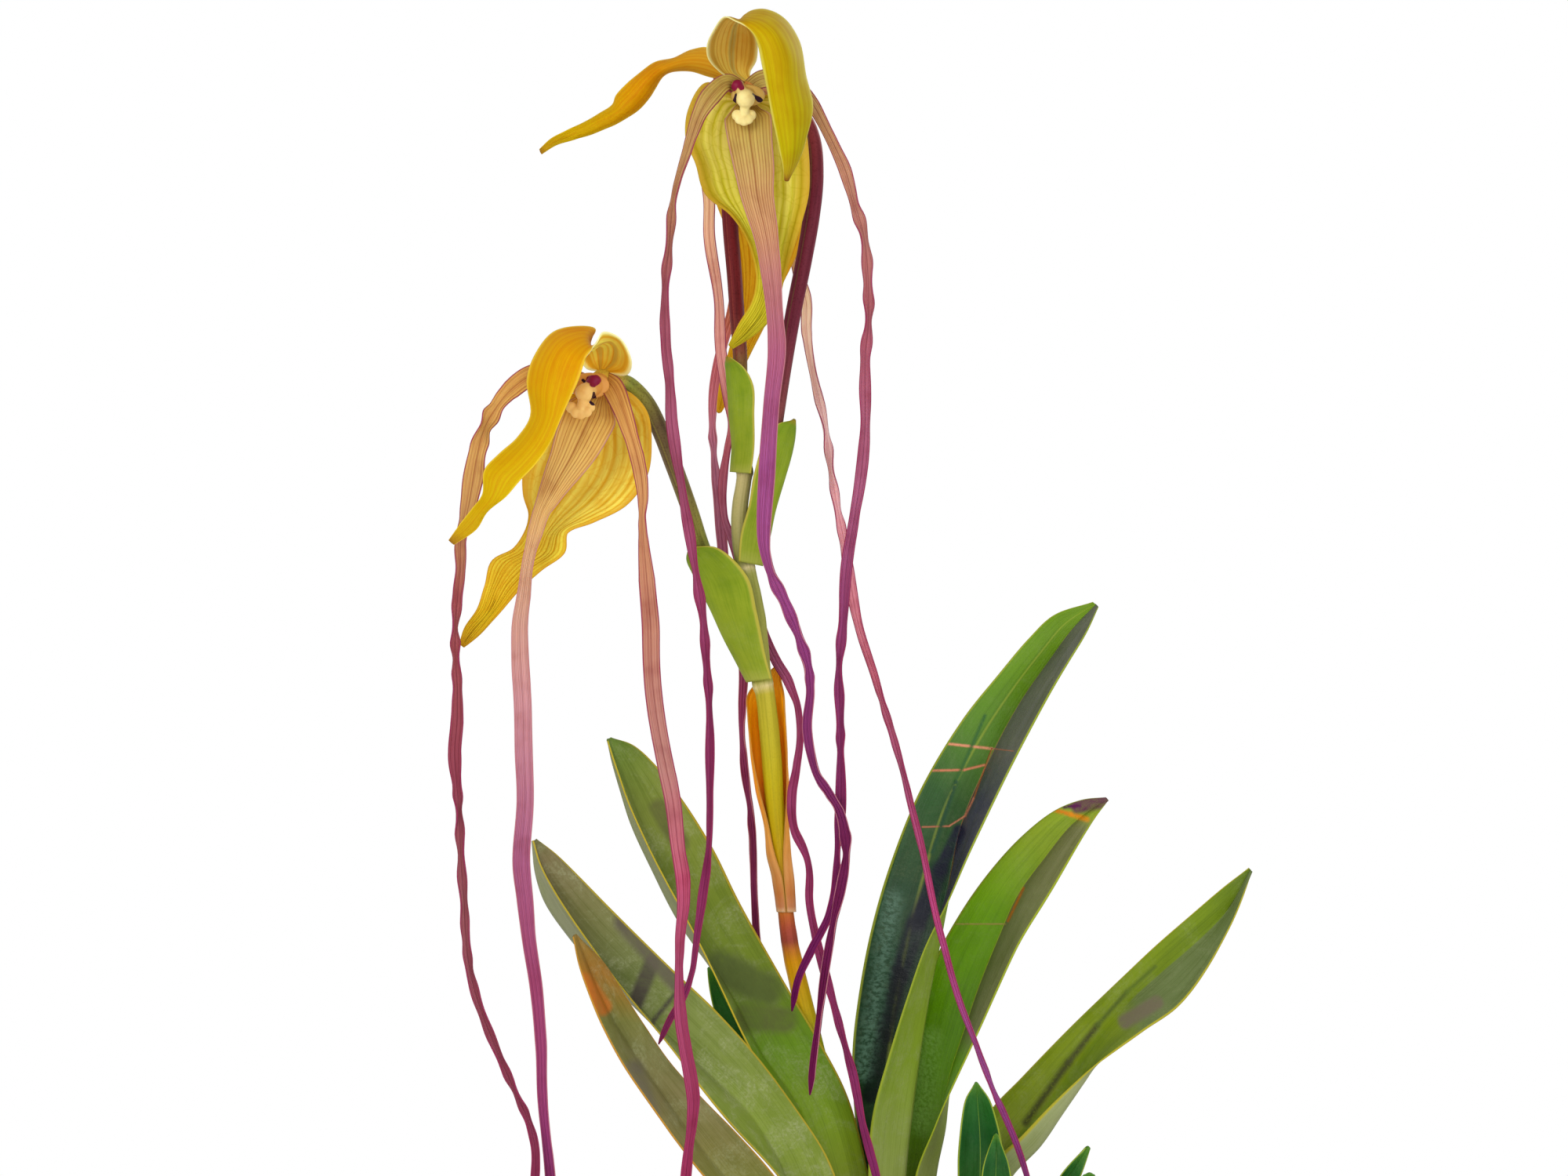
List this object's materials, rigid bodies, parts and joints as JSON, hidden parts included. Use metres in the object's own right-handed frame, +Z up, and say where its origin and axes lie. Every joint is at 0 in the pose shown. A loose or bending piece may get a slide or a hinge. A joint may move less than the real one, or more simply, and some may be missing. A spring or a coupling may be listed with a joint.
{
  "type": "potted slipper orchid",
  "caption": "Potted slipper orchid in flower: folded strap leaves, a zig-zag stem and blooms whose petals and lip hang as long ribbons, in a plain clay pot of bark.",
  "frame": {"origin": "centre of the pot's underside, on the surface it stands on", "axes": "+Z up, -Y towards the side the top bloom faces, +X to that side's right"},
  "size_m": [0.3084, 0.1682, 0.62],
  "materials": {
    "clay": "matt fired clay",
    "bark": "rough damp bark",
    "leaf_matt": "matt, dusty",
    "leaf_old": "matt, browning",
    "leaf_glossy": "glossy",
    "leaf_bright": "satin",
    "scape_green": "satin",
    "dry_sheath": "dry, creased",
    "bract_green": "satin",
    "pedicel_maroon": "satin",
    "pedicel_olive": "satin",
    "sepal_lime": "satin, veined",
    "sepal_gold": "satin, veined",
    "ribbon": "satin, striped",
    "lip": "satin, veined",
    "column": "waxy"
  },
  "bodies": {
    "root": {"pot": "clay", "potting_mix": "bark", "leaf_left_upper": "leaf_matt", "leaf_left_middle": "leaf_matt", "leaf_left_lower": "leaf_old", "leaf_right_inner": "leaf_glossy", "leaf_right_outer": "leaf_bright", "leaf_right_low": "leaf_bright", "scape": "scape_green", "dry_sheath": "dry_sheath", "bract_lower": "bract_green", "bract_middle": "bract_green", "bract_top": "bract_green", "top_pedicel": "pedicel_maroon", "back_pedicel": "pedicel_maroon", "left_pedicel": "pedicel_olive", "young_leaf_behind": "leaf_glossy", "young_leaf_tall": "leaf_glossy", "young_leaf_short": "leaf_glossy", "young_leaf_pointed": "leaf_glossy", "young_leaf_round": "leaf_glossy", "top_dorsal_sepal": "sepal_lime", "top_synsepal": "sepal_lime", "top_petal_left": "ribbon", "top_petal_right": "ribbon", "top_lip": "lip", "top_column": "column", "left_dorsal_sepal": "sepal_gold", "left_synsepal": "sepal_gold", "left_petal_left": "ribbon", "left_petal_right": "ribbon", "left_lip": "lip", "left_column": "column", "back_dorsal_sepal": "sepal_gold", "back_synsepal": "sepal_gold", "back_petal_left": "ribbon", "back_petal_right": "ribbon", "back_lip": "lip", "back_column": "column"}
  },
  "joints": []
}
